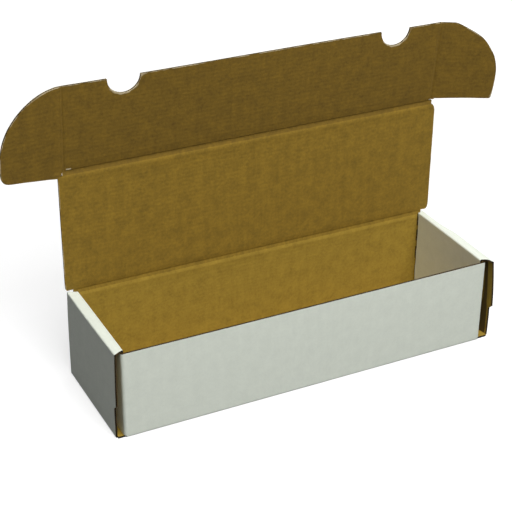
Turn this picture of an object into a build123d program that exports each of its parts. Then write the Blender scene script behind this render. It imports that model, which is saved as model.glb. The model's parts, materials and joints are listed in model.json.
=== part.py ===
"""Card storage box, folded from one die-cut blank of thin white-topped corrugated board.

Millimetres. X runs along the box, -Y is the front, +Z is up. The origin is the middle of the tray's
underside. Every panel between two creases is built flat in its own place and then folded about the
crease that carries it: its X runs along that crease, its Y away from it over the panel, and its Z
out through the white face. The crease line itself lies in the panel's inner, brown face.
"""
from build123d import *
import os
from math import cos, radians, sin

# Board, from the white face to the brown face: outer liner, fluted medium, inner liner
outer_liner = 0.24
flute_height = 1.12
inner_liner = 0.24
medium_thickness = 0.2
flute_pitch = 3.3
flute_land = 0.5

# Space inside the tray, and the slot at each end that takes an ear of the tuck flap
inner_length = 301.6
inner_width = 93.7
inner_height = 69.85
ear_slot_width = 4.6

# Room left where one panel passes or stops short of another
fold_clearance = 0.3

# Outer end panels, whose front edge steps back low down
end_step_height = 24.5
end_step_depth = 3.0

# Room between an inner end panel and the front or back wall
inner_end_play = 1.05

# Locking tabs of the inner end panels, and the room around each in its slot in the bottom
tab_width = 22.0
tab_spacing = 48.0
tab_tip_height = 0.35
tab_slot_room = 0.4

# Dust flaps between the end panels, and the gap where a front and a back one nearly meet
dust_flap_gap = 2.7
dust_flap_corner_radius = 4.0

# Lid and tuck flap: the closed flap hangs clear of the front wall and of the table
flap_play = 2.7
flap_floor_gap = 3.55
lid_foot_chamfer = 3.7
lid_corner_chamfer = 4.7
thumb_notch_radius = 12.7
thumb_notch_offset = 112.0

# Ears of the tuck flap: each slides in between a dust flap and the end, and under the strip on top
ear_play = 1.5
ear_strip_gap = 1.0
ear_edge_slope = 1.0
ear_arc_radius = 47.0
ear_arc_start = 2.5
ear_corner_radius = 5.0

# The crushed band at each crease that is opened in use, to each side of the crease
crease_half = 1.75

# How far each of those creases is folded in as the box stands open, in degrees
lid_fold = 0.0
tuck_flap_fold = 6.2
left_ear_fold = 6.0
right_ear_fold = 22.0

board = outer_liner + flute_height + inner_liner
half_width = inner_width / 2
dust_flap_length = half_width - dust_flap_gap / 2
inner_fold = inner_length / 2 + board
wall_end = inner_fold + board
outer_fold = wall_end + ear_slot_width
rollover_width = outer_fold - inner_fold
end_half = half_width + board
rollover_taper = board + inner_end_play
inner_end_half = end_half - rollover_taper
back_wall_height = inner_height + board
lid_half = outer_fold + board
lid_depth = inner_width + board + flap_play
tuck_flap_length = inner_height + 2 * board - flap_floor_gap
ear_crease_offset = wall_end + ear_play
ear_foot_rise = board + ear_strip_gap
ear_tip_rise = ear_foot_rise + ear_edge_slope


def crease(parent, x, y, turn, fold):
    """Place of a panel that hangs on a crease of its parent, at x, y on the parent's inner face."""
    return parent * Location((x, y, 0), (0, 0, turn)) * Location((0, 0, 0), (-fold, 0, 0))


def slab(x_low, x_high, y_low, y_high, z_low, z_high):
    size = (x_high - x_low, y_high - y_low, z_high - z_low)
    middle = ((x_low + x_high) / 2, (y_low + y_high) / 2, (z_low + z_high) / 2)
    return Pos(*middle) * Box(*size)


def rectangle(x_low, x_high, y_low, y_high):
    middle = ((x_low + x_high) / 2, (y_low + y_high) / 2)
    return Pos(*middle) * Rectangle(x_high - x_low, y_high - y_low)


def polygon(*points):
    return make_face(Polyline(*points, close=True))


def prism(outline, low, high):
    """A flat outline given thickness between two distances from the inner face."""
    return Pos(0, 0, low) * extrude(outline, high - low, dir=(0, 0, 1))


def bend(low, high, fold, x_low, x_high):
    """The stretch of a liner that turns about the crease, between its parent and its panel."""
    def at(radius, share):
        angle = radians(fold) * share
        return (x_low, -radius * sin(angle), radius * cos(angle))

    lines = [ThreePointArc(at(high, 0), at(high, 0.5), at(high, 1))]
    if low > 0:
        lines += [Line(at(high, 1), at(low, 1)), ThreePointArc(at(low, 1), at(low, 0.5), at(low, 0))]
        lines += [Line(at(low, 0), at(high, 0))]
    else:
        lines += [Line(at(high, 1), (x_low, 0, 0)), Line((x_low, 0, 0), at(high, 0))]
    return extrude(make_face(lines), x_high - x_low, dir=(1, 0, 0))


def fluting(outline, along_crease):
    """The medium: a sheet of flat-topped waves that touch both liners, in whole flutes."""
    box = outline.bounding_box()
    low, high = (box.min.Y, box.max.Y) if along_crease else (box.min.X, box.max.X)
    start, end = (box.min.X, box.max.X) if along_crease else (box.min.Y, box.max.Y)
    count = max(1, round((high - low) / flute_pitch))
    pitch = (high - low) / count
    rise = flute_height - medium_thickness
    under = [(low, 0)]
    for index in range(count):
        foot = low + index * pitch + flute_land / 2
        crest = foot + pitch / 2 - flute_land
        under += [(foot, 0), (crest, rise), (crest + flute_land, rise), (foot + pitch - flute_land, 0)]
    under += [(high, 0)]
    wave = under + [(across, height + medium_thickness) for across, height in reversed(under)]
    if along_crease:
        profile = polygon(*[(start, across, inner_liner + height) for across, height in wave])
        sheet = extrude(profile, end - start, dir=(1, 0, 0))
    else:
        profile = polygon(*[(across, start, inner_liner + height) for across, height in wave])
        sheet = extrude(profile, end - start, dir=(0, 1, 0))
    return sheet & prism(outline, 0, board)


def plies(place, outline, along_crease, fold=0, root=None):
    """A panel's three plies. The liners run on round a crease with a fold that the box keeps."""
    inner = prism(outline, 0, inner_liner)
    outer = prism(outline, board - outer_liner, board)
    if root:
        inner += bend(0, inner_liner, fold, *root)
        outer += bend(board - outer_liner, board, fold, *root)
    middle = fluting(outline, along_crease)
    return {"outer_liner": place * outer, "fluting": place * middle, "inner_liner": place * inner}


def hinge_liners(place, fold, x_low, x_high):
    """The two liners over a crease that opens and closes, where the medium is crushed away."""
    def liner(low, high):
        parent_side = Rot(fold, 0, 0) * slab(x_low, x_high, -crease_half, 0, low, high)
        band = parent_side + slab(x_low, x_high, 0, crease_half, low, high)
        return band + bend(low, high, fold, x_low, x_high) if fold else band

    return {"outer_liner": place * liner(board - outer_liner, board),
            "inner_liner": place * liner(0, inner_liner)}


def bottom_outline():
    sheet = rectangle(-outer_fold, outer_fold, -half_width, half_width)
    for end in (-1, 1):
        for side in (-1, 1):
            middle = (end * (inner_fold - board / 2), side * tab_spacing / 2)
            sheet -= Pos(*middle) * Rectangle(board + 2 * tab_slot_room, tab_width + 2 * tab_slot_room)
    return sheet


def outer_end_outline(front):
    """front is +1 where the box's front lies towards the panel's +X, and -1 where it lies at -X."""
    step = end_half - end_step_depth
    points = [(-end_half, 0), (step, 0), (step, end_step_height),
              (end_half, end_step_height + end_step_depth), (end_half, inner_height),
              (-end_half, inner_height)]
    return polygon(*[(front * x, y) for x, y in points])


def rollover_outline():
    return polygon((-end_half, 0), (end_half, 0), (inner_end_half, rollover_width),
                   (-inner_end_half, rollover_width))


def inner_end_outline():
    height = inner_height - fold_clearance
    sheet = rectangle(-inner_end_half, inner_end_half, 0, height)
    for side in (-1, 1):
        middle = side * tab_spacing / 2
        tip = inner_height + board - tab_tip_height
        sheet += rectangle(middle - tab_width / 2, middle + tab_width / 2, height, tip)
    return sheet


def dust_flap_outline():
    low, high = fold_clearance, inner_height - fold_clearance
    middle = inner_height / 2
    sheet = rectangle(low - middle, high - middle, 0, dust_flap_length)
    free_corners = sheet.vertices().group_by(Axis.Y)[-1]
    return fillet(free_corners, dust_flap_corner_radius)


def lid_outline():
    low, high = crease_half, lid_depth - crease_half
    right = [(lid_half - lid_foot_chamfer, low), (lid_half, low + lid_foot_chamfer),
             (lid_half, high - lid_corner_chamfer), (lid_half - lid_corner_chamfer, high)]
    left = [(-x, y) for x, y in reversed(right)]
    return polygon(*right, *left)


def tuck_flap_outline():
    half = ear_crease_offset - crease_half
    sheet = rectangle(-half, half, crease_half, tuck_flap_length)
    for side in (-1, 1):
        sheet -= Pos(side * thumb_notch_offset, tuck_flap_length) * Circle(thumb_notch_radius)
    return sheet


def ear_outline(side):
    """Drawn along the crease from the lid's side, then out to the ear's tip."""
    middle = (tuck_flap_length - ear_arc_radius, ear_arc_start)
    tip = ear_arc_start + ear_arc_radius
    arc_half = (middle[0] + ear_arc_radius * sin(radians(45)), middle[1] + ear_arc_radius * cos(radians(45)))
    arc = ThreePointArc((tuck_flap_length, ear_arc_start), arc_half, (middle[0], tip))
    straight = Polyline((middle[0], tip), (ear_tip_rise, tip), (ear_foot_rise, crease_half),
                        (tuck_flap_length, crease_half), (tuck_flap_length, ear_arc_start))
    sheet = make_face([arc, *straight.edges()])
    corner = sheet.vertices().sort_by_distance((ear_tip_rise, tip))[0]
    sheet = fillet(corner, ear_corner_radius)
    return sheet if side > 0 else mirror(sheet, Plane.YZ)


bottom = Location((0, 0, board), (180, 0, 0))
front_wall = crease(bottom, 0, half_width, 0, 90)
back_wall = crease(bottom, 0, -half_width, 180, 90)
lid = crease(back_wall, 0, back_wall_height, 0, lid_fold)
tuck_flap = crease(lid, 0, lid_depth, 0, tuck_flap_fold)

panels = {}
panels["bottom"] = plies(bottom, bottom_outline(), True)
panels["front_wall"] = plies(front_wall, rectangle(-inner_fold, inner_fold, 0, inner_height),
                             True, 90, (-inner_fold, inner_fold))
panels["back_wall"] = plies(back_wall,
                            rectangle(-inner_fold, inner_fold, 0, back_wall_height - crease_half),
                            True, 90, (-inner_fold, inner_fold))

for name, end in (("left", -1), ("right", 1)):
    outer_end = crease(bottom, end * outer_fold, 0, -end * 90, 90)
    rollover = crease(outer_end, 0, inner_height, 0, 90)
    inner_end = crease(rollover, 0, rollover_width, 0, 90)
    foot = sorted((end * end_half, -end * (end_half - end_step_depth)))
    panels[f"{name}_outer_end"] = plies(outer_end, outer_end_outline(-end), False, 90, foot)
    panels[f"{name}_rollover"] = plies(rollover, rollover_outline(), False, 90, (-end_half, end_half))
    panels[f"{name}_inner_end"] = plies(inner_end, inner_end_outline(), False, 90,
                                        (-inner_end_half, inner_end_half))
    middle = inner_height / 2
    root = (fold_clearance - middle, inner_height - fold_clearance - middle)
    front_flap = crease(front_wall, end * inner_fold, middle, -end * 90, 90)
    back_flap = crease(back_wall, -end * inner_fold, middle, end * 90, 90)
    panels[f"{name}_front_dust_flap"] = plies(front_flap, dust_flap_outline(), False, 90, root)
    panels[f"{name}_back_dust_flap"] = plies(back_flap, dust_flap_outline(), False, 90, root)

panels["lid"] = plies(lid, lid_outline(), True)
panels["tuck_flap"] = plies(tuck_flap, tuck_flap_outline(), True)
panels["lid_crease"] = hinge_liners(lid, lid_fold, -wall_end, wall_end)
flap_half = ear_crease_offset - crease_half
panels["tuck_flap_crease"] = hinge_liners(tuck_flap, tuck_flap_fold, -flap_half, flap_half)

for name, end, fold in (("left", -1, left_ear_fold), ("right", 1, right_ear_fold)):
    ear = crease(tuck_flap, -end * ear_crease_offset, 0, end * 90, fold)
    crease_ends = sorted((end * ear_foot_rise, end * tuck_flap_length))
    panels[f"{name}_ear"] = plies(ear, ear_outline(end), False)
    panels[f"{name}_ear_crease"] = hinge_liners(ear, fold, *crease_ends)

os.makedirs("parts", exist_ok=True)
for panel, sheets in panels.items():
    for ply, shape in sheets.items():
        export_step(shape.solid(), f"parts/{panel}_{ply}.step")
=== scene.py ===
"""Card storage box of thin white-topped corrugated board, as it stands open.

Every panel is laid out flat in the blank's own millimetres, given its three plies, and then folded into its place.
A point of a panel is (u, v, w): u along the crease that carries it, v away from that crease, and w from the brown
face (0) to the white face (board).
"""
import json
from math import ceil, cos, pi, radians, sin

import bpy
import numpy as np
from mathutils import Matrix, Vector
from mathutils.geometry import delaunay_2d_cdt

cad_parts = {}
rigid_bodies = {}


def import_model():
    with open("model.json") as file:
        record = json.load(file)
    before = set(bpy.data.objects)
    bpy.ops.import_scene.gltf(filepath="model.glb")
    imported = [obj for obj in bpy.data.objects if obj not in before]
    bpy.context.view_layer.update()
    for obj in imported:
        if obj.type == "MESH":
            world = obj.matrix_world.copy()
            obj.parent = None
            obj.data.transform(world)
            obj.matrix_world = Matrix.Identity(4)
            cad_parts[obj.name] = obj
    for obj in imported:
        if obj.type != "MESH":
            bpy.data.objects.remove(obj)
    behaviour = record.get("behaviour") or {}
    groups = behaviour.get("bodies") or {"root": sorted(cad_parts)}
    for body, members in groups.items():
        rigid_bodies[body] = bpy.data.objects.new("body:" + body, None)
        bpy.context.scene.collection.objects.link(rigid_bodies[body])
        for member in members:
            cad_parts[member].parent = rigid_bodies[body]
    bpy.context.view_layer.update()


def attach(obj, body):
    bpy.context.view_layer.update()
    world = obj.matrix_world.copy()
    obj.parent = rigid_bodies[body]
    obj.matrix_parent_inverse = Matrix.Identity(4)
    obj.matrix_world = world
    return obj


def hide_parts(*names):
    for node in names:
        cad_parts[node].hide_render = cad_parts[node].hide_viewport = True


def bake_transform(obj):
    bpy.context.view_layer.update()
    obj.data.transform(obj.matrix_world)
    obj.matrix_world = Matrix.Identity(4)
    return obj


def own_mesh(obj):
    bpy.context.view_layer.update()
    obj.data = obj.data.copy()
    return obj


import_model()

# ---- Sizes, in millimetres, as in the frame ----
outer_liner, flute_height, inner_liner = 0.24, 1.12, 0.24
medium_thickness = 0.2
flute_pitch = 3.3
inner_length, inner_width, inner_height = 301.6, 93.7, 69.85
ear_slot_width = 4.6
fold_clearance = 0.3
end_step_height, end_step_depth = 24.5, 3.0
tab_middle, tab_half, tab_tip_height = 24.0, 11.0, 0.35
tab_slot_half_width, tab_slot_half_length = 1.2, 11.4
dust_flap_length, dust_flap_corner_radius = 45.5, 4.0
lid_depth, tuck_flap_length = 98.0, 69.5
thumb_notch_radius = 12.7
ear_crease_offset = 155.5
crease_half = 1.75
lid_fold, tuck_flap_fold, left_ear_fold, right_ear_fold = 0.0, 6.2, 6.0, 22.0

board = outer_liner + flute_height + inner_liner
half_width = inner_width / 2
inner_fold = inner_length / 2 + board
wall_end = inner_fold + board
outer_fold = wall_end + ear_slot_width
rollover_width = outer_fold - inner_fold
end_half = half_width + board
inner_end_half = 45.8
back_wall_height = inner_height + board
lid_half = outer_fold + board
hinge_z = back_wall_height + board
flap_half = ear_crease_offset - crease_half

# How far each paper rises over the flutes under it
kraft_relief, white_relief = 0.04, 0.01
# Radius of the white face at the folds: crisp along the strips, softer at the corners of the walls
crisp_fold, bottom_fold, corner_fold = 1.0, 1.6, 2.3
# How deep the brown face is pressed at distances from a crease, from the parent panel's side (-) to the child's.
# The child's board stands a little over the parent's, which shades the crease line, and the parent's is raised
# a little beyond its slope.
flap_press = [(-9.5, 0), (-4.0, -0.22), (-3.1, -0.18), (1.4, 1.1), (1.7, 1.1), (2.0, 0.36), (3.5, 0.24), (8.0, 0)]
lid_press = [(-9.5, 0), (-4.6, -0.2), (-3.7, -0.16), (0.9, 0.86), (1.0, 0.86), (1.3, 0.5), (3.2, 0.22), (6.5, 0)]
ear_press = [(-4.0, 0), (-0.9, 0.22), (-0.1, 0.55), (0.4, 0.55), (0.8, 0.2), (4.0, 0)]
faint_press = [(away, 0.45 * depth) for away, depth in ear_press]
# How far past its ends a pressed crease fades out, and how far from a crease a panel is free to bow
press_end, bow_reach = 3.0, 16.0

# Flat length of paper that runs round a fixed fold
bend_length = 2.4
# Spacing of points across and along the flutes, the closest one at creases, and the band in which that is kept
fine_step = flute_pitch / 6
coarse_step = 7.0
crease_step, crease_band = 0.5, 2.6
# How much the spacing grows with each millimetre from that band, and how finely outlines are walked along
step_growth, walk_step = 0.35, 0.05
# Given to points with no cut edge nearby
far_from_cut = 9.0


# ---- Materials ----
def colour(code):
    """An sRGB hex value as linear red, green, blue and alpha."""
    parts = [int(code[i:i + 2], 16) / 255 for i in (1, 3, 5)]
    return [p / 12.92 if p <= 0.04045 else ((p + 0.055) / 1.055) ** 2.4 for p in parts] + [1.0]


def add(tree, kind, inputs=None, **settings):
    """A node with its settings; an input is a value, or the output that feeds it."""
    node = tree.nodes.new(kind)
    for name, value in settings.items():
        setattr(node, name, value)
    for socket, value in (inputs or {}).items():
        if isinstance(value, bpy.types.NodeSocket):
            tree.links.new(value, node.inputs[socket])
        else:
            node.inputs[socket].default_value = value
    return node


def new_material(name):
    material = bpy.data.materials.new(name)
    material.use_nodes = True
    material.node_tree.nodes.clear()
    return material, material.node_tree


# Repeats of the paper's patterns in a metre of the blank. Where there are three, they are across the web, along it
# and through the sheet.
pulp_clouds = 110.0  # from uneven pulp, about 9 mm
forming_mottle = 430.0  # where the sheet was formed, about 2.3 mm
web_streaks = (240.0, 14.0, 1.0)  # 4 mm apart and 70 mm long
pulp_fibres = (1450.0, 380.0, 1.0)  # 0.7 mm wide and 2.6 mm long, drawn coarser than real ones so that they show
bark_flecks = 1150.0  # and unbleached fibres, about 0.9 mm
torn_stretches = 80.0  # of a cut edge, about 12 mm
# How faint the fibres are beside the mottle, and the streaks beside the clouds
faint = 0.4
# How far in millimetres the fibres fray the line where a cut edge's tint ends
fray = 0.5


def paper(name, light, dark, fleck, fleck_amount, roughness, cloud, grain, edge=None):
    """Machine-made paper: clouds from uneven pulp, fibres drawn out along the web, and stray flecks.

    The map gives the place on the flat blank in metres, so the web runs along its second number. An edge is a
    colour, the distances in millimetres from a cut edge at which it starts and is full, and its strength where it
    comes in stretches, or 0 where it runs on.
    """
    material, tree = new_material(name)
    place = add(tree, "ShaderNodeUVMap", uv_map="blank").outputs["UV"]
    across_web = add(tree, "ShaderNodeMapping", {"Vector": place, "Scale": pulp_fibres}).outputs["Vector"]
    along_web = add(tree, "ShaderNodeMapping", {"Vector": place, "Scale": web_streaks}).outputs["Vector"]
    clouds, fibres, mottle, streaks, spots = (
        add(tree, "ShaderNodeTexNoise", {"Vector": where, "Scale": scale, "Detail": detail,
                                         "Roughness": uneven}).outputs["Fac"]
        for where, scale, detail, uneven in ((place, pulp_clouds, 3.0, 0.55), (across_web, 1.0, 4.0, 0.65),
                                             (place, forming_mottle, 4.0, 0.65), (along_web, 1.0, 2.0, 0.5),
                                             (place, bark_flecks, 1.0, 0.5)))
    weights = ((clouds, cloud), (fibres, grain * faint), (mottle, grain), (streaks, cloud * faint))
    total = 0.0
    for pattern, weight in weights:
        total = add(tree, "ShaderNodeMath", {0: pattern, 1: weight, 2: total}, operation="MULTIPLY_ADD").outputs[0]
    # noise lies about one half
    centre = sum(weight for _, weight in weights) / 2
    shade = add(tree, "ShaderNodeMapRange", {"Value": total, "From Min": centre - 0.5, "From Max": centre + 0.5})
    base = add(tree, "ShaderNodeMix", {"Factor": shade.outputs["Result"], 6: colour(dark), 7: colour(light)},
               data_type="RGBA")
    # only the highest peaks of the noise become flecks
    fleck_mask = add(tree, "ShaderNodeMapRange", {"Value": spots, "From Min": 0.68, "From Max": 0.78,
                                                  "To Max": fleck_amount})
    final = add(tree, "ShaderNodeMix", {"Factor": fleck_mask.outputs["Result"], 6: base.outputs[2],
                                        7: colour(fleck)}, data_type="RGBA")
    if edge:
        tint, start, full, patchy = edge
        from_cut = add(tree, "ShaderNodeAttribute", attribute_name="cut_distance").outputs["Fac"]
        ragged = add(tree, "ShaderNodeMath", {0: fibres, 1: fray, 2: from_cut},
                     operation="MULTIPLY_ADD").outputs[0]
        amount = add(tree, "ShaderNodeMapRange", {"Value": ragged, "From Min": start + fray / 2,
                                                  "From Max": full + fray / 2}).outputs["Result"]
        if patchy:
            # about half of the length shows
            patches = add(tree, "ShaderNodeTexNoise", {"Vector": place, "Scale": torn_stretches, "Detail": 2.0})
            shown = add(tree, "ShaderNodeMapRange", {"Value": patches.outputs["Fac"], "From Min": 0.44,
                                                     "From Max": 0.56, "To Max": patchy})
            amount = add(tree, "ShaderNodeMath", {0: amount, 1: shown.outputs["Result"]},
                         operation="MULTIPLY").outputs[0]
            # a torn place, or one given painted shade, where the distance is below zero, takes nearly the whole
            # tint
            torn_or_painted_shade = add(tree, "ShaderNodeMapRange", {"Value": ragged, "From Min": start - 0.4,
                                                    "From Max": full - 0.7, "To Max": 0.9}).outputs["Result"]
            amount = add(tree, "ShaderNodeMath", {0: amount, 1: torn_or_painted_shade}, operation="MAXIMUM").outputs[0]
        final = add(tree, "ShaderNodeMix", {"Factor": amount, 6: final.outputs[2], 7: colour(tint)},
                    data_type="RGBA")
    # fibres stand less than a tenth of a millimetre proud
    bump = add(tree, "ShaderNodeBump", {"Height": fibres, "Strength": 0.35, "Distance": 0.00008})
    surface = add(tree, "ShaderNodeBsdfPrincipled", {"Base Color": final.outputs[2], "Roughness": roughness,
                                                     "IOR": 1.45, "Specular IOR Level": 0.35,
                                                     "Normal": bump.outputs["Normal"]})
    add(tree, "ShaderNodeOutputMaterial", {"Surface": surface.outputs["BSDF"]})
    return material


# White-top testliner: a thin bleached layer on brown pulp. It is cool white, lightly calendered, and a little
# cloudy where the brown shows through.
white_top = paper("white_top_testliner", "#EEF4E7", "#D8DED2", "#B9B8A6", 0.22, 0.62, 0.6, 0.5)

# Kraft testliner: unbleached, olive-brown and quite matt, with fibres and darker bark flecks. The tray's copy is
# paler, as painted light, and the flap's and ears' copy is deeper, as painted shade. The die left pale torn fibres
# along stretches of the cut edges, and in the tray the edges are darker in stretches.
torn_rim = ("#E6D8B2", 0.6, 0.15, 0.6)
# dark stretches along the tray's cut edges; where the distance is below zero, in the right rear corner and deep in
# the right slot, it is painted shade
dark_rim_and_painted_shade = ("#3E3011", 0.5, 0.1, 0.6)
kraft = paper("kraft_testliner", "#9C7C28", "#6C561A", "#4E3B0D", 0.3, 0.86, 0.95, 1.15, torn_rim)
kraft_painted_shade = paper("kraft_testliner_painted_shade", "#85681F", "#5B4615", "#44330C", 0.3, 0.86, 0.95, 1.3, torn_rim)
kraft_painted_light = paper("kraft_testliner_painted_light", "#AF9136", "#846B24", "#5F4A17", 0.3, 0.86, 0.95, 1.0, dark_rim_and_painted_shade)
brown_of = {"tray": kraft_painted_light, "lid": kraft, "tuck_flap": kraft_painted_shade, "left_ear": kraft_painted_shade,
            "right_ear": kraft_painted_shade}

# Fluting medium: recycled and coarse. It is seen only where the board is cut. More than a few tenths of a
# millimetre in from the cut it is painted near black, as painted shade inside the flutes. The faces of the liners
# that are glued to it look the same.
flute_painted_shade = ("#120C04", 0.05, 0.45, 0)
medium = paper("fluting_medium", "#584320", "#382A10", "#2A1F0A", 0.4, 0.9, 0.8, 0.8, flute_painted_shade)

# Die-cut liner edge: broken fibres without calendering, so it is paler and fuzzy.
cut_edge = paper("die_cut_liner_edge", "#F2EAD2", "#D2C39A", "#9C8654", 0.3, 0.95, 0.8, 0.9)


# ---- One ply of corrugated board, as a tree that works on a flat outline ----
def ply_tree():
    """A sheet between two heights, each of which may rise with the flutes under it."""
    tree = bpy.data.node_groups.new("corrugated_ply", "GeometryNodeTree")
    sockets = [("Flat Outline", "NodeSocketGeometry"), ("Across Flutes", "NodeSocketVector"),
               ("Flute Pitch", "NodeSocketFloat"), ("First Crest", "NodeSocketFloat"),
               ("Lower Height", "NodeSocketFloat"), ("Lower Rise", "NodeSocketFloat"),
               ("Upper Height", "NodeSocketFloat"), ("Upper Rise", "NodeSocketFloat"),
               ("Lower Finish", "NodeSocketMaterial"), ("Upper Finish", "NodeSocketMaterial"),
               ("Cut Finish", "NodeSocketMaterial")]
    for name, kind in sockets:
        tree.interface.new_socket(name=name, in_out="INPUT", socket_type=kind)
    tree.interface.new_socket(name="Ply", in_out="OUTPUT", socket_type="NodeSocketGeometry")
    given = add(tree, "NodeGroupInput").outputs

    place = add(tree, "GeometryNodeInputPosition").outputs[0]
    across = add(tree, "ShaderNodeVectorMath", {0: place, 1: given["Across Flutes"]}, operation="DOT_PRODUCT")
    offset = add(tree, "ShaderNodeMath", {0: across.outputs["Value"], 1: given["First Crest"]},
                 operation="SUBTRACT")
    turns = add(tree, "ShaderNodeMath", {0: offset.outputs[0], 1: given["Flute Pitch"]}, operation="DIVIDE")
    angle = add(tree, "ShaderNodeMath", {0: turns.outputs[0], 1: 2 * pi}, operation="MULTIPLY")
    wave = add(tree, "ShaderNodeMath", {0: angle.outputs[0]}, operation="COSINE")
    # a cosine cut off short of its tips gives rounded tips and straight flanks
    flank = 0.8
    crest = add(tree, "ShaderNodeMapRange", {"Value": wave.outputs[0], "From Min": -flank, "From Max": flank},
                interpolation_type="SMOOTHSTEP").outputs["Result"]

    def face(height, rise):
        level = add(tree, "ShaderNodeMath", {0: crest, 1: given[rise], 2: given[height]},
                    operation="MULTIPLY_ADD")
        return add(tree, "ShaderNodeCombineXYZ", {"Z": level.outputs[0]}).outputs[0]

    def marked(geometry, number):
        return add(tree, "GeometryNodeStoreNamedAttribute",
                   {"Geometry": geometry, "Name": "ply_side", "Value": number},
                   data_type="INT", domain="FACE").outputs["Geometry"]

    low, high = face("Lower Height", "Lower Rise"), face("Upper Height", "Upper Rise")
    lower = add(tree, "GeometryNodeSetPosition", {"Geometry": given["Flat Outline"], "Offset": low})
    lower = add(tree, "GeometryNodeFlipFaces", {"Mesh": lower.outputs[0]})
    upper = add(tree, "GeometryNodeSetPosition", {"Geometry": given["Flat Outline"], "Offset": high})

    faces = add(tree, "GeometryNodeInputMeshEdgeNeighbors").outputs[0]
    rim = add(tree, "FunctionNodeCompare", {2: faces, 3: 1}, data_type="INT", operation="EQUAL")
    reach = add(tree, "ShaderNodeVectorMath", {0: high, 1: low}, operation="SUBTRACT")
    cut = add(tree, "GeometryNodeExtrudeMesh", {"Mesh": lower.outputs[0], "Selection": rim.outputs[0],
                                                "Offset": reach.outputs[0], "Offset Scale": 1.0}, mode="EDGES")
    sides = add(tree, "GeometryNodeSeparateGeometry", {"Geometry": cut.outputs["Mesh"],
                                                       "Selection": cut.outputs["Side"]}, domain="FACE")
    joined = add(tree, "GeometryNodeJoinGeometry")
    for part in (marked(lower.outputs[0], 0), marked(upper.outputs[0], 1), marked(sides.outputs[0], 2)):
        tree.links.new(part, joined.inputs[0])
    closed = add(tree, "GeometryNodeMergeByDistance", {"Geometry": joined.outputs[0], "Distance": 0.001})
    result = add(tree, "GeometryNodeRealizeInstances", {"Geometry": closed.outputs[0]}).outputs[0]
    mark = add(tree, "GeometryNodeInputNamedAttribute", {"Name": "ply_side"},
               data_type="INT").outputs["Attribute"]
    for number, finish in enumerate(("Lower Finish", "Upper Finish", "Cut Finish")):
        chosen = add(tree, "FunctionNodeCompare", {2: mark, 3: number}, data_type="INT", operation="EQUAL")
        result = add(tree, "GeometryNodeSetMaterial", {"Geometry": result, "Selection": chosen.outputs[0],
                                                       "Material": given[finish]}).outputs[0]
    out = add(tree, "NodeGroupOutput")
    tree.links.new(result, out.inputs[0])
    return tree


corrugated_ply = ply_tree()
ply_input = {item.name: item.identifier for item in corrugated_ply.interface.items_tree
             if getattr(item, "in_out", "") == "INPUT"}

# Each ply: the height of its lower and upper face, each with its rise over the flutes, and its three finishes
flute_rise = flute_height - medium_thickness
plies = {
    "white_sheet": (board - outer_liner, 0.0, board - white_relief, white_relief, medium, white_top, cut_edge),
    "flutes": (inner_liner, flute_rise, inner_liner + medium_thickness, flute_rise, medium, medium, medium),
    "kraft_sheet": (0.0, kraft_relief, inner_liner, 0.0, kraft, medium, kraft),
}
# The material slot of each ply, and how the names of its nodes end
slot_and_ending = {"white_sheet": ("white_liner", "outer_liner"), "flutes": ("flute_medium", "fluting"),
                   "kraft_sheet": ("kraft_liner", "inner_liner")}


# ---- Flat outlines ----
def arc(middle, radius, start, end, step=1.2):
    """Points on an arc, from one angle to another in degrees."""
    count = max(3, ceil(abs(radians(end - start)) * radius / step))
    angles = [radians(start + (end - start) * i / count) for i in range(count + 1)]
    return [(middle[0] + radius * cos(a), middle[1] + radius * sin(a)) for a in angles]


def rectangle(u_low, u_high, v_low, v_high):
    """Its four corners, anticlockwise."""
    return [(u_low, v_low), (u_high, v_low), (u_high, v_high), (u_low, v_high)]


def torn_line(a, b, depth, step, seed):
    """From a to b in short runs that stray to either side."""
    a, b = np.array(a), np.array(b)
    count = int(np.linalg.norm(b - a) / step)
    side = np.array([b[1] - a[1], a[0] - b[0]]) / np.linalg.norm(b - a)
    stray = np.random.default_rng(seed).uniform(-depth, depth, count + 1)
    return [tuple(a + (b - a) * i / count + side * s) for i, s in enumerate(stray)]


def inside(points, loops):
    """Which points lie within the outline and outside its holes."""
    result = np.zeros(len(points), bool)
    for loop in loops:
        loop = np.asarray(loop)
        for (x0, y0), (x1, y1) in zip(loop, np.roll(loop, -1, axis=0)):
            crossed = (y0 > points[:, 1]) != (y1 > points[:, 1])
            with np.errstate(divide="ignore", invalid="ignore"):
                at = x0 + (points[:, 1] - y0) * (x1 - x0) / (y1 - y0)
            result ^= crossed & (points[:, 0] < at)
    return result


def distance(points, a, b):
    """Distance of each point from the line from a to b."""
    a, b = np.asarray(a, float), np.asarray(b, float)
    along = b - a
    share = np.clip((points - a) @ along / max(along @ along, 1e-12), 0, 1)
    return np.linalg.norm(points - a - share[:, None] * along, axis=1)


def eased(value, low, high):
    """0 below low, 1 above high, and smooth between."""
    share = np.clip((value - low) / (high - low), 0, 1)
    return share * share * (3 - 2 * share)


def smooth_line(points, step=1.5):
    """A smooth curve through the points, with a point about every step."""
    points = np.asarray(points, float)
    padded = np.vstack([2 * points[0] - points[1], points, 2 * points[-1] - points[-2]])
    line = []
    for a, b, c, d in zip(padded, padded[1:], padded[2:], padded[3:]):
        count = max(1, round(np.linalg.norm(c - b) / step))
        for t in np.arange(count) / count:
            line.append(0.5 * (2 * b + (c - a) * t + (2 * a - 5 * b + 4 * c - d) * t ** 2
                               + (3 * b - a - 3 * c + d) * t ** 3))
    return [tuple(p) for p in line] + [tuple(points[-1])]


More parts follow.
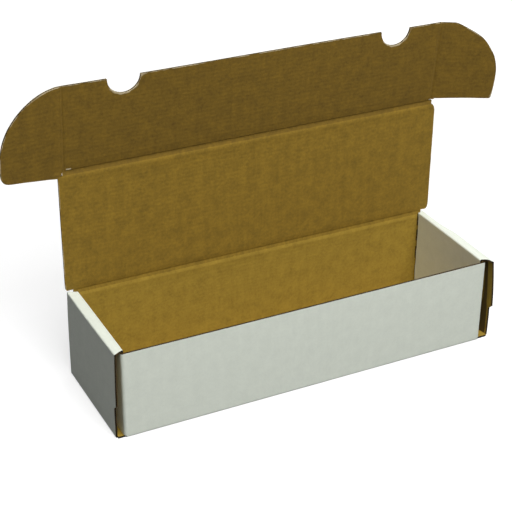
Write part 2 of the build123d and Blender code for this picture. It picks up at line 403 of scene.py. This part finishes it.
class Rule:
    """A measuring rule along one axis of a panel: its marks are closest where a crease lies, and one is at zero."""

    def __init__(self, low, high, fine, coarse, creases, zero):
        self.at = np.linspace(low - 1, high + 1, int((high - low + 2) / walk_step) + 1)
        step = np.full(len(self.at), coarse)
        for crease in creases:
            away = np.maximum(np.abs(self.at - crease) - crease_band, 0)
            step = np.minimum(step, fine + step_growth * away)
        marks = np.concatenate([[0], np.cumsum(0.5 * (1 / step[1:] + 1 / step[:-1]) * np.diff(self.at))])
        self.marks = marks - np.interp(zero, self.at, marks)

    def read(self, position):
        """The mark at a position in millimetres."""
        return np.interp(position, self.at, self.marks)

    def find(self, mark):
        """The position of a mark."""
        return np.interp(mark, self.marks, self.at)


def flat_sheet(loops, across, first, creases):
    """The outline filled with points in rows along the flutes: dense across them, sparse along them.

    It is filled as its rules measure it, so that there the points lie one unit apart both ways.
    """
    low, high = np.min(loops[0], axis=0), np.max(loops[0], axis=0)
    rules = []
    for axis in (0, 1):
        lines = [a[axis] for a, b, *_ in creases if abs(a[axis] - b[axis]) < 1e-6]
        dense = (across == "u") == (axis == 0)
        start = 0.0 if low[axis] < 0 < high[axis] else low[axis]
        rules.append(Rule(low[axis], high[axis], min(fine_step, crease_step),
                          fine_step if dense else coarse_step, lines, first if dense else start))

    def measure(points):
        return np.stack([rule.read(points[:, axis]) for axis, rule in enumerate(rules)], -1)

    rims, links, count = [], [], 0
    for loop in loops:
        rim = []
        for a, b in zip(np.asarray(loop, float), np.roll(np.asarray(loop, float), -1, axis=0)):
            t = np.linspace(0, 1, max(2, int(np.abs(b - a).max() / walk_step)))
            way = measure(a + (b - a) * t[:, None])
            walked = np.concatenate([[0], np.cumsum(np.abs(np.diff(way, axis=0)).max(1))])
            parts = max(1, round(walked[-1]))
            share = np.interp(np.arange(parts) / parts * walked[-1], walked, t)
            rim.append(a + (b - a) * share[:, None])
        rim = measure(np.concatenate(rim))
        rims.append(rim)
        links += [(count + i, count + (i + 1) % len(rim)) for i in range(len(rim))]
        count += len(rim)
    low, high = np.ceil(rims[0].min(0)), np.floor(rims[0].max(0))
    marks = [np.arange(low[axis], high[axis] + 1) for axis in (0, 1)]
    grid = np.stack(np.meshgrid(*marks), -1).reshape(-1, 2)
    grid = grid[inside(grid, rims)]
    # a point too near the rim would make a sliver
    kept = np.ones(len(grid), bool)
    for rim in rims:
        for a, b in zip(rim, np.roll(rim, -1, axis=0)):
            near = np.abs(grid - (a + b) / 2).max(1) < 1.5
            kept[near] &= distance(grid[near], a, b) > 0.4
    found = delaunay_2d_cdt([Vector(p) for p in np.concatenate([*rims, grid[kept]])], links, [], 1, 1e-5)
    flat, faces = np.array([tuple(p) for p in found[0]]), np.array(found[2])
    faces = faces[inside(flat[faces].mean(1), rims)]
    turned = np.cross(flat[faces[:, 1]] - flat[faces[:, 0]], flat[faces[:, 2]] - flat[faces[:, 0]]) < 0
    faces[turned] = faces[turned][:, ::-1]
    return np.stack([rule.find(flat[:, axis]) for axis, rule in enumerate(rules)], -1), faces


# ---- Panels and how they are folded ----
def shift(x, y, z=0.0):
    return Matrix.Translation((x, y, z))


def turn(degrees, axis):
    return Matrix.Rotation(radians(degrees), 4, axis)


class Panel:
    """A stiff panel between creases. It hangs on its parent at a crease, folded by an angle about it.

    The root is the stretch of u along which it hangs. A hinge is the profile that its crease is pressed to, and a
    panel without one stays folded, on a bend of the white face. Bow, and where the paper tore or is given painted
    shade, are functions of u and v.
    """

    def __init__(self, name, body, parent, at, twist, fold, loops, across, root=None, hinge=None,
                 bend=corner_fold):
        self.name, self.body, self.parent, self.fold, self.across = name, body, parent, fold, across
        self.loops, self.root, self.bend = loops, root, bend
        self.stays_folded = bool(root) and not hinge
        self.flat_step = shift(*at) @ turn(twist, "Z")
        if parent:
            self.frame = parent.frame @ self.flat_step @ turn(-fold, "X")
            self.blank = parent.blank @ self.flat_step
        else:
            self.frame, self.blank = at_bottom, Matrix.Identity(4)
        self.creases, self.bow, self.torn_or_painted_shade = [], None, None
        if root:
            ends = [self.flat_step @ Vector((u, 0, 0)) for u in root]
            towards = (self.flat_step @ Vector((0, 1, 0, 0)))[:2]
            self.creases.append(((root[0], 0.0), (root[1], 0.0), (0.0, 1.0), hinge, bend))
            parent.creases.append((tuple(ends[0][:2]), tuple(ends[1][:2]), tuple(towards), hinge, bend))

    def from_cut(self, flat):
        """Distance of each point from the nearest edge that the die cut, less where the paper tore or is given
        painted shade.
        """
        nearest = np.full(len(flat), far_from_cut)
        for loop in self.loops:
            for a, b in zip(np.asarray(loop, float), np.roll(np.asarray(loop, float), -1, axis=0)):
                middle = np.array([(a + b) / 2])
                # an edge along a crease wasn't cut
                if all(distance(middle, *crease[:2])[0] > crease_half + 0.4 for crease in self.creases):
                    nearest = np.minimum(nearest, distance(flat[:, :2], a, b))
        return nearest - self.torn_or_painted_shade(*flat[:, :2].T) if self.torn_or_painted_shade else nearest

    def press(self, flat):
        """Near its creases: how deep the brown face is pressed, the share of its thickness that the board keeps,
        and how free a point is to bow."""
        depth, keep, free = np.zeros(len(flat)), np.ones(len(flat)), np.ones(len(flat))
        for a, b, towards, hinge, bend in self.creases:
            away = distance(flat[:, :2], a, b)
            if hinge:
                side = (flat[:, :2] - a) @ towards
                beyond = np.sqrt(np.maximum(away ** 2 - side ** 2, 0))
                depth = depth + np.interp(side, *np.transpose(hinge)) * np.clip(1 - beyond / press_end, 0, 1)
            else:
                short = np.maximum(bend - board - away, 0)
                keep = np.minimum(keep, (board - bend + np.sqrt(bend ** 2 - short ** 2)) / board)
            free = np.minimum(free, eased(away, 0, bow_reach))
        return depth, keep, free

    def place(self, flat):
        """Folds flat points of this panel into the box, still in millimetres."""
        u, v, w = flat.T
        depth, keep, free = self.press(flat)
        bowed = free * self.bow(u, v) if self.bow else 0.0
        angle = radians(self.fold) * np.clip(-v / bend_length, 0, 1) if self.stays_folded else 0 * v
        if angle.any():
            # where a ray at this angle meets the rounded corner of the white face
            slack, reach = self.bend - board, np.cos(angle) + np.sin(angle)
            turned = (np.sqrt(slack ** 2 * (reach ** 2 - 2) + self.bend ** 2) - slack * reach) / board
            # a crisp fold is straight up to its rounded corner
            flat_part = np.minimum(np.tan(angle), 1 / np.maximum(np.tan(angle), 1e-6)) < -slack / board
            turned = np.where(flat_part, 1 / np.maximum(np.cos(angle), np.sin(angle)), turned)
            keep = np.where(angle > 0, turned, keep)
        w = w * keep
        w = w + depth * np.clip(1 - w / (board - outer_liner), 0, 1) + bowed
        y = np.where(angle > 0, -w * np.sin(angle), v)
        z = np.where(angle > 0, w * np.cos(angle), w)
        local = np.stack([u, y, z, np.ones(len(u))])
        placed = (np.array(self.frame) @ local)[:3].T
        return sprung(placed, self.name) if self.body == "tray" else placed


def sprung(points, name):
    """Moves the tray's points as its folds have sprung since it was put up.

    The left end is pressed in by a millimetre. The right end stands off its slot and flares out at the open front,
    and the strip on it is arched. Neither end takes room from the ears.
    """
    x, y, z = points.T
    # shares that are 1 on an outer end, on an inner end, at the open front, at the top and amid a strip
    out = np.clip((np.abs(x) - wall_end) / ear_slot_width, 0, 1)
    turned_in = (1 - out) * name.endswith(("outer_end", "rollover", "inner_end"))
    front = np.clip((end_half - y) / (2 * end_half), 0, 1)
    rise = np.clip(z / inner_height, 0, 1)
    high = eased(z, 20, inner_height)
    crown = 4 * out * (1 - out) * eased(z, inner_height, hinge_z)
    crowned = 0.1 * front * crown
    # the left end leans in, less in its middle than at its corners and less at its foot
    pressed = 0.82 + 0.1 * (y / end_half) + 0.33 * (y / end_half) ** 2
    left_x = out * pressed * (0.3 + 0.7 * rise ** 3) - turned_in * 0.4 * front ** 2 * high
    # the right end stands out at the front, leans in at the rear, and its strip falls away outwards
    flare = 4.6 - ((z - 20) / 32) ** 2
    lean = (0.8 + 2.9 * eased(y, -2, 24)) * (0.35 + 0.65 * rise ** 2)
    right_x = out * (flare * front ** 4 - lean) - turned_in * 1.0 * front ** 2 * high
    right_z = (turned_in * 0.06 - 2.5 * out ** 2) * front ** 2 * high + crowned
    left = x < 0
    return np.stack([x + np.where(left, left_x, right_x), y, z + np.where(left, crowned, right_z)], 1)


def loops_with_root(loops, root):
    """The outline, with the stretch of paper that runs round its fixed fold added at the root."""
    u_low, u_high = root
    near = 1e-9
    keep = [(u, v) for u, v in loops[0] if abs(v) > near or min(abs(u - u_low), abs(u - u_high)) > near]
    base = [(u_low, 0.0), (u_low, -bend_length), (u_high, -bend_length), (u_high, 0.0)]
    start = next((i for i, (u, v) in enumerate(keep) if abs(v) < near and u < u_low), None)
    if start is None:
        return [base + keep, *loops[1:]]
    return [keep[:start + 1] + base + keep[start + 1:], *loops[1:]]


at_bottom = shift(0, 0, board) @ turn(180, "X")

# The bottom's slots, into which the inner ends lock
slots = []
for end in (-1, 1):
    for side in (-1, 1):
        u, v = end * (inner_fold - board / 2), side * tab_middle
        slots.append(rectangle(u - tab_slot_half_width, u + tab_slot_half_width,
                               v - tab_slot_half_length, v + tab_slot_half_length))
bottom = Panel("bottom", "tray", None, (0, 0), 0, 0,
               [rectangle(-outer_fold, outer_fold, -half_width, half_width), *slots], "v")
front_wall = Panel("front_wall", "tray", bottom, (0, half_width), 0, 90,
                   [rectangle(-inner_fold, inner_fold, 0, inner_height)], "v", (-inner_fold, inner_fold),
                   bend=bottom_fold)
back_wall = Panel("back_wall", "tray", bottom, (0, -half_width), 180, 90,
                  [rectangle(-inner_fold, inner_fold, 0, back_wall_height - crease_half)], "v",
                  (-inner_fold, inner_fold), bend=bottom_fold)
panels = [bottom, front_wall, back_wall]

for name, end in (("left", -1), ("right", 1)):
    # the outer end's front edge steps back low down
    step = end_half - end_step_depth
    front = -end
    outline = [(-end_half, 0.0), (step, 0.0), (step, end_step_height),
               (end_half, end_step_height + end_step_depth), (end_half, inner_height), (-end_half, inner_height)]
    outline = [(front * u, v) for u, v in outline]
    if front < 0:
        outline = outline[::-1]
    foot = sorted((-front * end_half, front * step))
    outer_end = Panel(f"{name}_outer_end", "tray", bottom, (end * outer_fold, 0), -end * 90, 90, [outline], "u",
                      foot, bend=bottom_fold)
    rollover = Panel(f"{name}_rollover", "tray", outer_end, (0, inner_height), 0, 90,
                     [[(-end_half, 0.0), (end_half, 0.0), (inner_end_half, rollover_width),
                       (-inner_end_half, rollover_width)]], "u", (-end_half, end_half), bend=crisp_fold)
    height = inner_height - fold_clearance
    tip = inner_height + board - tab_tip_height
    # the die tore the right one's rear edge a little, and it stands off the back wall
    rear = [(inner_end_half, height)]
    if end > 0:
        rear = torn_line((inner_end_half - 0.9, 3.0), (inner_end_half - 0.7, height), 0.3, 3.5, seed=5)
    outline = [(-inner_end_half, 0.0), (inner_end_half, 0.0), *rear]
    for middle in (tab_middle, -tab_middle):
        high, low = middle + tab_half, middle - tab_half
        outline += [(high, height), (high, tip), (low, tip), (low, height)]
    outline.append((-inner_end_half, height))
    inner_end = Panel(f"{name}_inner_end", "tray", rollover, (0, rollover_width), 0, 90, [outline], "u",
                      (-inner_end_half, inner_end_half), bend=crisp_fold)
    panels += [outer_end, rollover, inner_end]
    middle = inner_height / 2
    low, high = fold_clearance - middle, inner_height - fold_clearance - middle
    length, radius = dust_flap_length, dust_flap_corner_radius
    dust = [(low, 0.0), (high, 0.0), *arc((high - radius, length - radius), radius, 0, 90),
            *arc((low + radius, length - radius), radius, 90, 180)]
    for where, wall, side in (("front", front_wall, end), ("back", back_wall, -end)):
        panels.append(Panel(f"{name}_{where}_dust_flap", "tray", wall, (side * inner_fold, middle), -side * 90,
                            90, [dust], "u", (low, high)))

# The lid's four corners are cut a little differently, as in the photograph
low, high = crease_half, lid_depth - crease_half
lid = Panel("lid", "lid", back_wall, (0, back_wall_height), 0, lid_fold,
            [[(-lid_half + 2.0, low), (lid_half - 1.0, low), (lid_half - 0.2, low + 1.0),
              (lid_half, low + 4.0), (lid_half, high - 1.2), (lid_half - 1.2, high),
              (-lid_half + 2.6, high), (-lid_half + 0.8, high - 2.4), (-lid_half, high - 5.2),
              (-lid_half, low + 5.0), (-lid_half + 0.4, low + 1.8)]],
            "v", (-wall_end, wall_end), lid_press)


# Along the flap, from its left end to its right
thumb_notches = (109.6, -114.4)


def flap_outline():
    """A plain strip, with two half-round thumb notches in its free edge."""
    top = tuck_flap_length
    points = [(-flap_half, crease_half), (flap_half, crease_half), (flap_half, top)]
    for middle in thumb_notches:
        points += arc((middle, top), thumb_notch_radius, 0, -180)
    return points + [(-flap_half, top)]


tuck_flap = Panel("tuck_flap", "tuck_flap", lid, (0, lid_depth), 0, tuck_flap_fold, [flap_outline()], "v",
                  (-flap_half, flap_half), flap_press)
panels += [lid, tuck_flap]


# Where each ear's crease starts above the flap's. The left ear's foot has torn free and hangs below it.
ear_foot = {-1: 0.6, 1: 2.6}


def ear_outline(end):
    """Drawn from the flap's free edge: round the ear's arc and tip, and back along its foot."""
    if end < 0:
        edge = [(69.5, 5.0), (67.8, 12.8), (64.4, 20.8), (59.1, 28.8), (52.2, 36.0), (44.2, 41.8), (35.6, 45.7),
                (26.6, 47.8), (17.5, 48.5), (9.5, 48.3), (4.9, 46.8), (2.5, 42.9), (1.2, 34.1)]
        foot = [(0.1, 26.5), (-1.7, 14.9), (-2.9, 5.4), (-1.4, 3.5), (-1.1, 2.4), (-1.1, crease_half)]
    else:
        edge = [(69.4, 9.5), (68.4, 15.0), (60.4, 30.3), (54.3, 37.9), (45.2, 44.5), (39.2, 47.3), (30.4, 49.4),
                (20.0, 49.7), (9.0, 49.0), (5.4, 48.4)]
        foot = [(4.5, 47.2), (4.2, 20.0), (3.6, 3.0), (2.6, crease_half)]
    points = [(tuck_flap_length, crease_half), *smooth_line(edge), *foot]
    return points if end > 0 else [(-u, v) for u, v in points][::-1]


for name, end, fold in (("left", -1, left_ear_fold), ("right", 1, right_ear_fold)):
    root = tuple(sorted((end * ear_foot[end], end * tuck_flap_length)))
    panels.append(Panel(f"{name}_ear", f"{name}_ear", tuck_flap, (-end * ear_crease_offset, 0), end * 90, fold,
                        [ear_outline(end)], "u", root, ear_press if end < 0 else faint_press))

by_name = {panel.name: panel for panel in panels}
left_ear, right_ear = by_name["left_ear"], by_name["right_ear"]


# ---- How the panels bow, in millimetres towards the white face ----
def left_ear_bow(u, v):
    """The foot, which tore free, stands in front of the lid's corner, and the ear's tip curls a little forward."""
    foot = 1 - eased(-u, -0.5, 3.5)
    return -1.6 * foot * (1 - eased(v, 5.0, 12.0)) - 0.5 * (v / 48) ** 2


def front_wall_bow(u, v):
    """The open edge bulges, and a feed roller left a faint ridge along the foot, on its left half."""
    ridge = np.exp(-((v - 12.5 - 0.01 * u) / 0.8) ** 2) * eased(-u, -60, 60)
    return 0.4 * np.cos(u / 97) * np.sin(pi * v / 140) + 0.05 * ridge


left_ear.bow = left_ear_bow
right_ear.bow = lambda u, v: -0.5 * (v / 48) ** 2
lid.bow = lambda u, v: 0.25 * (1 + np.sin(u / 61 + 0.7)) * np.sin(pi * v / lid_depth)
tuck_flap.bow = lambda u, v: -0.45 * (v / tuck_flap_length) ** 2 * np.sin(u / 47 - 0.4)
front_wall.bow = front_wall_bow


# ---- Where the brown paper is torn, or given painted shade: what is taken off the distance from a cut edge ----
def tuck_flap_torn(u, v):
    """The die tore the hollow of both thumb notches, and tore the paper at the left end of the crease."""
    notches = eased(tuck_flap_length - v, 6, 9) * eased(v, 40, 50)
    return notches + 9.5 * eased(u, flap_half - 9, flap_half - 3) * eased(-v, -4.2, -3.2)


def back_wall_painted_shade(u, v):
    """Painted shade on the right rear corner, seen through the gap beside the inner end, with two short breaks in
    it.
    """
    clean = 0.8 * np.exp(-((v - 57) / 1.2) ** 2) + 0.8 * np.exp(-((v - 42) / 1.6) ** 2)
    return 10 * eased(-u, 150.2, 150.6) * (0.25 + 0.75 * eased(v, 16, 32)) * (1 - clean)


tuck_flap.torn_or_painted_shade = tuck_flap_torn
back_wall.torn_or_painted_shade = back_wall_painted_shade
# the upper arc of the left ear, and painted shade on a band deep in the right slot
left_ear.torn_or_painted_shade = lambda u, v: 0.35 * eased(-u, 56, 62) * eased(-v, -30, -22)
by_name["right_outer_end"].torn_or_painted_shade = lambda u, v: 9.2 * eased(u, -44.9, -42.3)


# ---- Plies ----
def flutes_of(panel):
    """The flutes fill a panel in whole numbers: their pitch and the place of the first crest."""
    outline = np.array(panel.loops[0])
    across = outline[:, 1] if panel.across == "v" else outline[:, 0]
    count = max(1, round((across.max() - across.min()) / flute_pitch))
    pitch = (across.max() - across.min()) / count
    return pitch, across.min() + pitch / 2


def make_ply(flat, faces, across, pitch, first, ply, brown):
    """Runs the tree on a flat outline and gives back a plain mesh, still flat."""
    low, low_rise, high, high_rise, low_finish, high_finish, cut_finish = plies[ply]
    low_finish, cut_finish = (brown if finish == kraft else finish for finish in (low_finish, cut_finish))
    if brown == kraft_painted_light:
        # in the tray every cut edge is as dark as the medium
        cut_finish = medium
    mesh = bpy.data.meshes.new("flat")
    mesh.from_pydata([(u, v, 0.0) for u, v in flat], [], faces.tolist())
    obj = bpy.data.objects.new("flat", mesh)
    bpy.context.scene.collection.objects.link(obj)
    modifier = obj.modifiers.new("ply", "NODES")
    modifier.node_group = corrugated_ply
    values = {"Across Flutes": (0.0, 1.0, 0.0) if across == "v" else (1.0, 0.0, 0.0), "Flute Pitch": pitch,
              "First Crest": first, "Lower Height": low, "Lower Rise": low_rise, "Upper Height": high,
              "Upper Rise": high_rise, "Lower Finish": low_finish, "Upper Finish": high_finish,
              "Cut Finish": cut_finish}
    for name, value in values.items():
        modifier[ply_input[name]] = value
    graph = bpy.context.evaluated_depsgraph_get()
    result = bpy.data.meshes.new_from_object(obj.evaluated_get(graph), preserve_all_data_layers=True,
                                             depsgraph=graph)
    obj.modifiers.remove(modifier)
    bpy.data.objects.remove(obj)
    bpy.data.meshes.remove(mesh)
    return result


def finish_piece(name, ply, mesh, placed, blank, from_cut):
    """Puts a flat ply into the box, in metres, with its place on the blank as its map."""
    slot_name, ending = slot_and_ending[ply]
    mesh.vertices.foreach_set("co", (placed / 1000).astype(np.float32).ravel())
    if "ply_side" in mesh.attributes:
        mesh.attributes.remove(mesh.attributes["ply_side"])
    corner = np.empty(len(mesh.loops), np.int32)
    mesh.loops.foreach_get("vertex_index", corner)
    layer = mesh.uv_layers.new(name="blank")
    layer.uv.foreach_set("vector", (blank[corner] / 1000).astype(np.float32).ravel())
    mesh.attributes.new("cut_distance", "FLOAT", "POINT").data.foreach_set("value", from_cut.astype(np.float32))
    mesh.shade_smooth()
    mesh.set_sharp_from_angle(angle=radians(40))
    mesh.update()
    obj = bpy.data.objects.new(f"{name}_{ply}", mesh)
    bpy.context.scene.collection.objects.link(obj)
    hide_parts(f"{name}_{ending}")
    return obj


def coordinates(mesh):
    """The places of a mesh's points, one row each."""
    flat = np.empty(len(mesh.vertices) * 3, np.float32)
    mesh.vertices.foreach_get("co", flat)
    return flat.reshape(-1, 3).astype(float)


def on_blank(panel, flat):
    """Where a panel's flat points lie on the blank, in millimetres from the middle of the bottom."""
    u, v, _ = flat.T
    return (np.array(panel.blank) @ np.stack([u, v, 0 * u, 0 * u + 1]))[:2].T


for panel in panels:
    pitch, first = flutes_of(panel)
    bare = flat_sheet(panel.loops, panel.across, first, panel.creases)
    full = bare
    if panel.stays_folded:
        full = flat_sheet(loops_with_root(panel.loops, panel.root), panel.across, first, panel.creases)
    for ply in plies:
        # the flutes are crushed at a fold, and only the two papers run round it
        sheet = bare if ply == "flutes" else full
        mesh = make_ply(*sheet, panel.across, pitch, first, ply, brown_of[panel.body])
        flat = coordinates(mesh)
        piece = finish_piece(panel.name, ply, mesh, panel.place(flat), on_blank(panel, flat), panel.from_cut(flat))
        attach(piece, panel.body)
        if panel == left_ear:
            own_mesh(piece)


# ---- The two papers over each crease that opens and closes ----
# Spacing of a strip's points along its crease, and its rows of points across it
strip_step, strip_rows = 3.5, 15


def crease_strip(name, child, low, high, brown_more=0.0):
    """Both papers along a crease, from low to high: they follow the parent on one side and the child on the other.

    The brown paper may reach further than high.
    """
    parent = child.parent
    columns, rows = ceil((high - low) / strip_step) + 1, strip_rows
    corners = [j * columns + i for j in range(rows - 1) for i in range(columns - 1)]
    faces = np.array([(k, k + 1, k + columns + 1, k + columns) for k in corners])
    # the flutes are crushed here, so one wave that is far longer than the strip is wide holds both papers level
    wave = 1000.0
    for ply, more, crest in (("white_sheet", 0.0, 0.0), ("kraft_sheet", brown_more, wave / 2)):
        along = np.append(np.linspace(low, high, columns)[:-1], high + more)
        flat = np.array([(u, v) for v in np.linspace(-crease_half, crease_half, rows) for u in along])
        mesh = make_ply(flat, faces, "v", wave, crest, ply, brown_of[child.body])
        points = coordinates(mesh)
        share = eased(points[:, 1], -crease_half, crease_half)[:, None]
        on_parent = (np.array(child.flat_step) @ np.c_[points, np.ones(len(points))].T)[:3].T
        placed = (1 - share) * parent.place(on_parent) + share * child.place(points)
        from_cut = np.minimum(points[:, 0] - low, high + more - points[:, 0])
        piece = finish_piece(name, ply, mesh, placed, on_blank(child, points), from_cut)
        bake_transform(piece)


# The flap's papers run on to the ears' creases, and the brown one a little further at the left
crease_strip("lid_crease", lid, -wall_end, wall_end)
crease_strip("tuck_flap_crease", tuck_flap, -flap_half - 3.0, flap_half + 2.6, 0.6)
crease_strip("left_ear_crease", left_ear, -tuck_flap_length, -ear_foot[-1])
crease_strip("right_ear_crease", right_ear, ear_foot[1], tuck_flap_length)


# ---- Floor, light and camera ----
# Each lamp: its place and the point that it faces, in metres, its width and depth, and its power in watts
lamps = [
    ("front_softbox", (0.05, -1.3, 1.6), (0, 0, 0.08), 1.3, 0.8, 33.0),
    ("front_left_softbox", (-1.15, -1.25, 1.1), (0, 0, 0.06), 0.8, 0.6, 1.3),
    ("rear_right_softbox", (1.2, 1.2, 0.85), (0, 0, 0.08), 0.9, 0.7, 7.0),
    ("overhead_softbox", (-0.05, -0.35, 1.3), (0, 0, 0.05), 0.6, 0.5, 7.6),
]
room_strength = 0.02
# How bright the pale floor glows near the box, where it shows the shadow, and far off, where it is plain white,
# the distances in metres between which it changes, and half the floor's width
floor_glow, backdrop_glow = 0.68, 0.95
glow_near, glow_far = 0.4, 1.3
floor_half = 6.0
# The focal length and the picture's height in pixels, and the sensor's longer side in millimetres
focal_length, picture_height, sensor = 1380.76, 522, 36.0
# The camera's place in metres, and how far it is turned to the right, tilted down and rolled, in degrees
camera_place = (-0.43696, -0.81703, 0.59198)
camera_yaw, camera_pitch, camera_roll = 26.79, 28.68, 0.41


def looked_at(tree):
    """1 for rays from the camera, in reflections and through clear things, and 0 for rays that carry light."""
    path = add(tree, "ShaderNodeLightPath").outputs
    seen = add(tree, "ShaderNodeMath", {0: path["Is Camera Ray"], 1: path["Is Glossy Ray"]}, operation="MAXIMUM")
    seen = add(tree, "ShaderNodeMath", {0: seen.outputs[0], 1: path["Is Transmission Ray"]}, operation="MAXIMUM")
    return seen.outputs[0]


def studio():
    """A pale floor that takes the shadow and shows white, and soft lamps round the box."""
    material, tree = new_material("pale_floor")
    grey = add(tree, "ShaderNodeBsdfDiffuse", {"Color": colour("#5A5A5A")})
    pale = add(tree, "ShaderNodeBsdfDiffuse", {"Color": colour("#B8B8B8")})
    place = add(tree, "ShaderNodeTexCoord").outputs["Object"]
    away = add(tree, "ShaderNodeVectorMath", {0: place}, operation="LENGTH").outputs["Value"]
    strength = add(tree, "ShaderNodeMapRange", {"Value": away, "From Min": glow_near, "From Max": glow_far,
                                                "To Min": floor_glow, "To Max": backdrop_glow},
                   interpolation_type="SMOOTHSTEP")
    glow = add(tree, "ShaderNodeEmission", {"Color": colour("#FFFFFF"), "Strength": strength.outputs["Result"]})
    both = add(tree, "ShaderNodeAddShader", {0: pale.outputs[0], 1: glow.outputs[0]})
    mix = add(tree, "ShaderNodeMixShader", {0: looked_at(tree), 1: grey.outputs[0], 2: both.outputs[0]})
    add(tree, "ShaderNodeOutputMaterial", {"Surface": mix.outputs[0]})
    mesh = bpy.data.meshes.new("floor")
    corners = rectangle(-floor_half, floor_half, -floor_half, floor_half)
    mesh.from_pydata([(x, y, 0) for x, y in corners], [], [(0, 1, 2, 3)])
    mesh.materials.append(material)
    floor = bpy.data.objects.new("floor", mesh)
    bpy.context.scene.collection.objects.link(floor)

    world = bpy.data.worlds.new("studio")
    world.use_nodes = True
    tree = world.node_tree
    tree.nodes.clear()
    room = add(tree, "ShaderNodeBackground", {"Color": colour("#FFFFFF"), "Strength": room_strength})
    white = add(tree, "ShaderNodeBackground", {"Color": colour("#FFFFFF"), "Strength": 1.0})
    mix = add(tree, "ShaderNodeMixShader", {0: looked_at(tree), 1: room.outputs[0], 2: white.outputs[0]})
    add(tree, "ShaderNodeOutputWorld", {"Surface": mix.outputs[0]})
    bpy.context.scene.world = world

    for name, where, aim, width, depth, power in lamps:
        data = bpy.data.lights.new(name, "AREA")
        data.shape, data.size, data.size_y, data.energy = "RECTANGLE", width, depth, power
        lamp = bpy.data.objects.new(name, data)
        lamp.location = where
        lamp.rotation_euler = (Vector(aim) - Vector(where)).to_track_quat("-Z", "Y").to_euler()
        bpy.context.scene.collection.objects.link(lamp)


def photograph_camera():
    """A long lens, a metre off, from the front left and well above."""
    yaw, pitch, roll = radians(camera_yaw), radians(camera_pitch), radians(camera_roll)
    forward = Vector((sin(yaw) * cos(pitch), cos(yaw) * cos(pitch), -sin(pitch)))
    right = Vector((cos(yaw), -sin(yaw), 0))
    up = right.cross(forward)
    across = cos(roll) * right + sin(roll) * up
    upright = cos(roll) * up - sin(roll) * right
    data = bpy.data.cameras.new("camera")
    data.sensor_width = sensor
    data.lens = focal_length * sensor / picture_height
    data.clip_end = 20.0
    camera = bpy.data.objects.new("camera", data)
    camera.matrix_world = Matrix((across, upright, -forward)).transposed().to_4x4()
    camera.location = camera_place
    bpy.context.scene.collection.objects.link(camera)
    bpy.context.scene.camera = camera


studio()
photograph_camera()
bpy.context.scene.view_settings.view_transform = "Standard"
